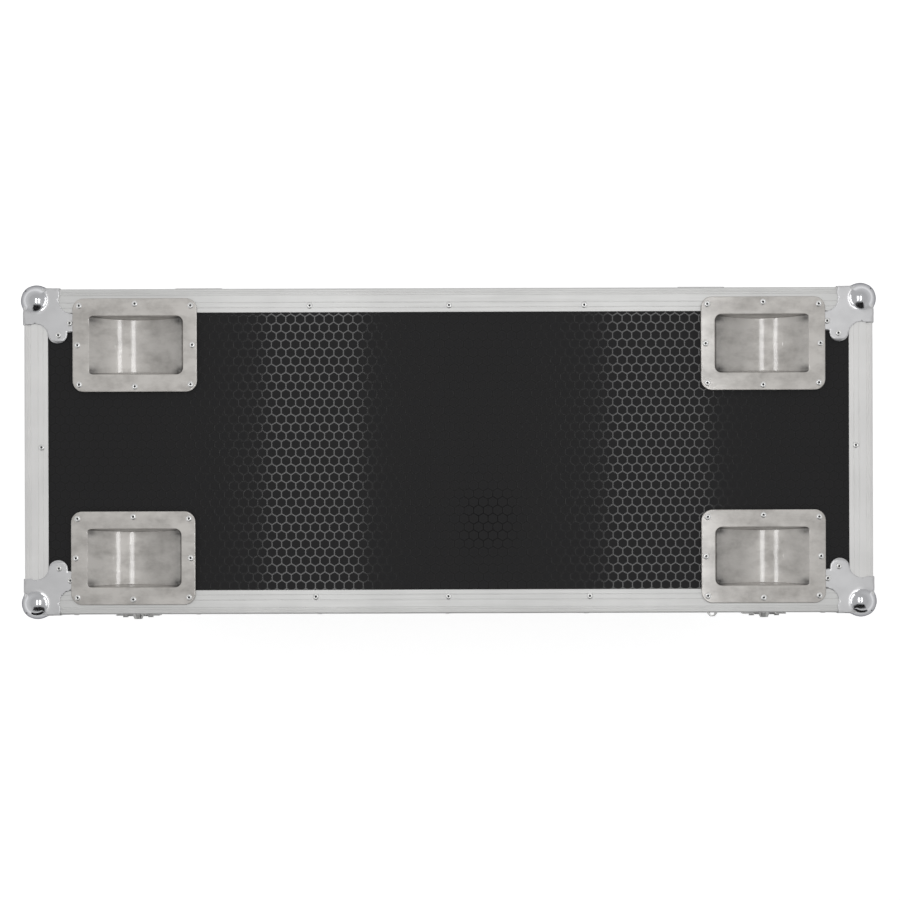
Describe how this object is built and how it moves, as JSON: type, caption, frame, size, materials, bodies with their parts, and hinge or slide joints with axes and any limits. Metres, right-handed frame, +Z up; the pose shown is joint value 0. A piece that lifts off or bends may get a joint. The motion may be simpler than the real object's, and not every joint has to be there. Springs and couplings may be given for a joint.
{
  "type": "hard equipment case",
  "caption": "Long hard road case with hexagon-patterned black boards, aluminium edges, ball corners, stacking dishes in the lid, butterfly latches, end handles and swivel castors.",
  "frame": {"origin": "on the floor under the middle of the case", "axes": "+X along the length, -Y the front with the latches, +Z up"},
  "size_m": [1.2492, 0.5019, 0.5337],
  "materials": {
    "hex_board": "black phenolic film on plywood, hexagon relief",
    "edge_aluminium": "fine-ribbed extrusion, natural anodised",
    "pressed_steel": "pressed sheet steel, bright plated, lightly scratched",
    "castor_steel": "zinc plated",
    "foam": "charcoal closed-cell foam",
    "black_rubber": "black moulded grip",
    "blue_rubber": "blue elastic tread"
  },
  "bodies": {
    "base": {"base_floor_panel": "hex_board", "base_front_panel": "hex_board", "base_rear_panel": "hex_board", "base_left_panel": "hex_board", "base_right_panel": "hex_board", "base_edge_frame": "edge_aluminium", "base_rim": "edge_aluminium", "base_ball_corner_front_left": "pressed_steel", "castor_plate_front_left": "castor_steel", "base_ball_corner_front_right": "pressed_steel", "castor_plate_front_right": "castor_steel", "base_ball_corner_rear_left": "pressed_steel", "castor_plate_rear_left": "castor_steel", "base_ball_corner_rear_right": "pressed_steel", "castor_plate_rear_right": "castor_steel", "latch_dish_left": "pressed_steel", "hinge_base_leaf_left": "pressed_steel", "handle_dish_left": "pressed_steel", "latch_dish_right": "pressed_steel", "hinge_base_leaf_right": "pressed_steel", "handle_dish_right": "pressed_steel", "padlock_staple_base": "pressed_steel", "base_foam_lining": "foam"},
    "lid": {"lid_top_panel": "hex_board", "lid_front_panel": "hex_board", "lid_rear_panel": "hex_board", "lid_left_panel": "hex_board", "lid_right_panel": "hex_board", "lid_edge_frame": "edge_aluminium", "lid_rim": "edge_aluminium", "lid_ball_corner_front_left": "pressed_steel", "castor_dish_front_left": "pressed_steel", "lid_ball_corner_front_right": "pressed_steel", "castor_dish_front_right": "pressed_steel", "lid_ball_corner_rear_left": "pressed_steel", "castor_dish_rear_left": "pressed_steel", "lid_ball_corner_rear_right": "pressed_steel", "castor_dish_rear_right": "pressed_steel", "latch_keeper_left": "pressed_steel", "hinge_lid_leaf_left": "pressed_steel", "latch_keeper_right": "pressed_steel", "hinge_lid_leaf_right": "pressed_steel", "padlock_staple_lid": "pressed_steel", "lid_foam_lining": "foam"},
    "fork_front_left": {"castor_fork_front_left": "castor_steel"},
    "wheel_front_left": {"castor_wheel_front_left": "blue_rubber"},
    "fork_front_right": {"castor_fork_front_right": "castor_steel"},
    "wheel_front_right": {"castor_wheel_front_right": "blue_rubber"},
    "fork_rear_left": {"castor_fork_rear_left": "castor_steel"},
    "wheel_rear_left": {"castor_wheel_rear_left": "blue_rubber"},
    "fork_rear_right": {"castor_fork_rear_right": "castor_steel"},
    "wheel_rear_right": {"castor_wheel_rear_right": "blue_rubber"},
    "bail_left": {"handle_bail_left": "black_rubber"},
    "bail_right": {"handle_bail_right": "black_rubber"},
    "drive_left": {"latch_drive_left": "pressed_steel"},
    "wing_left": {"latch_wing_left": "pressed_steel"},
    "claw_left": {"latch_claw_left": "pressed_steel"},
    "drive_right": {"latch_drive_right": "pressed_steel"},
    "wing_right": {"latch_wing_right": "pressed_steel"},
    "claw_right": {"latch_claw_right": "pressed_steel"}
  },
  "joints": [
    {"name": "lid_hinge", "type": "hinge", "parent": "base", "child": "lid", "pos_m": [0, 0.246, 0.3985], "axis": [-1, 0, 0], "range_deg": [0, 105]},
    {"name": "swivel_front_left", "type": "hinge", "parent": "base", "child": "fork_front_left", "pos_m": [-0.4943, -0.155, 0.117], "axis": [0, 0, 1], "continuous": true},
    {"name": "wheel_spin_front_left", "type": "hinge", "parent": "fork_front_left", "child": "wheel_front_left", "pos_m": [-0.4583, -0.155, 0.05], "axis": [0, 1, 0], "continuous": true},
    {"name": "swivel_front_right", "type": "hinge", "parent": "base", "child": "fork_front_right", "pos_m": [0.4943, -0.155, 0.117], "axis": [0, 0, 1], "continuous": true},
    {"name": "wheel_spin_front_right", "type": "hinge", "parent": "fork_front_right", "child": "wheel_front_right", "pos_m": [0.4583, -0.155, 0.05], "axis": [0, 1, 0], "continuous": true},
    {"name": "swivel_rear_left", "type": "hinge", "parent": "base", "child": "fork_rear_left", "pos_m": [-0.4943, 0.155, 0.117], "axis": [0, 0, 1], "continuous": true},
    {"name": "wheel_spin_rear_left", "type": "hinge", "parent": "fork_rear_left", "child": "wheel_rear_left", "pos_m": [-0.4583, 0.155, 0.05], "axis": [0, 1, 0], "continuous": true},
    {"name": "swivel_rear_right", "type": "hinge", "parent": "base", "child": "fork_rear_right", "pos_m": [0.4943, 0.155, 0.117], "axis": [0, 0, 1], "continuous": true},
    {"name": "wheel_spin_rear_right", "type": "hinge", "parent": "fork_rear_right", "child": "wheel_rear_right", "pos_m": [0.4583, 0.155, 0.05], "axis": [0, 1, 0], "continuous": true},
    {"name": "handle_left", "type": "hinge", "parent": "base", "child": "bail_left", "pos_m": [-0.6095, 0, 0.3045], "axis": [0, 1, 0], "range_deg": [0, 90], "stiffness_Nm_per_rad": 0.3},
    {"name": "handle_right", "type": "hinge", "parent": "base", "child": "bail_right", "pos_m": [0.6095, 0, 0.3045], "axis": [0, -1, 0], "range_deg": [0, 90], "stiffness_Nm_per_rad": 0.3},
    {"name": "latch_turn_left", "type": "hinge", "parent": "base", "child": "drive_left", "pos_m": [-0.479, -0.237, 0.3605], "axis": [0, 1, 0], "range_deg": [0, 180]},
    {"name": "wing_fold_left", "type": "hinge", "parent": "drive_left", "child": "wing_left", "pos_m": [-0.479, -0.2449, 0.3605], "axis": [-1, 0, 0], "range_deg": [0, 90]},
    {"name": "claw_pull_left", "type": "slide", "parent": "base", "child": "claw_left", "axis": [0, 0.7071, -0.7071], "range_m": [0, 0.00495]},
    {"name": "latch_turn_right", "type": "hinge", "parent": "base", "child": "drive_right", "pos_m": [0.479, -0.237, 0.3605], "axis": [0, 1, 0], "range_deg": [0, 180]},
    {"name": "wing_fold_right", "type": "hinge", "parent": "drive_right", "child": "wing_right", "pos_m": [0.479, -0.2449, 0.3605], "axis": [-1, 0, 0], "range_deg": [0, 90]},
    {"name": "claw_pull_right", "type": "slide", "parent": "base", "child": "claw_right", "axis": [0, 0.7071, -0.7071], "range_m": [0, 0.00495]}
  ],
  "couplings": [
    {"joint": "claw_pull_left", "follows": "latch_turn_left", "m_per_rad": 0.0015756},
    {"joint": "claw_pull_right", "follows": "latch_turn_right", "m_per_rad": 0.0015756}
  ]
}
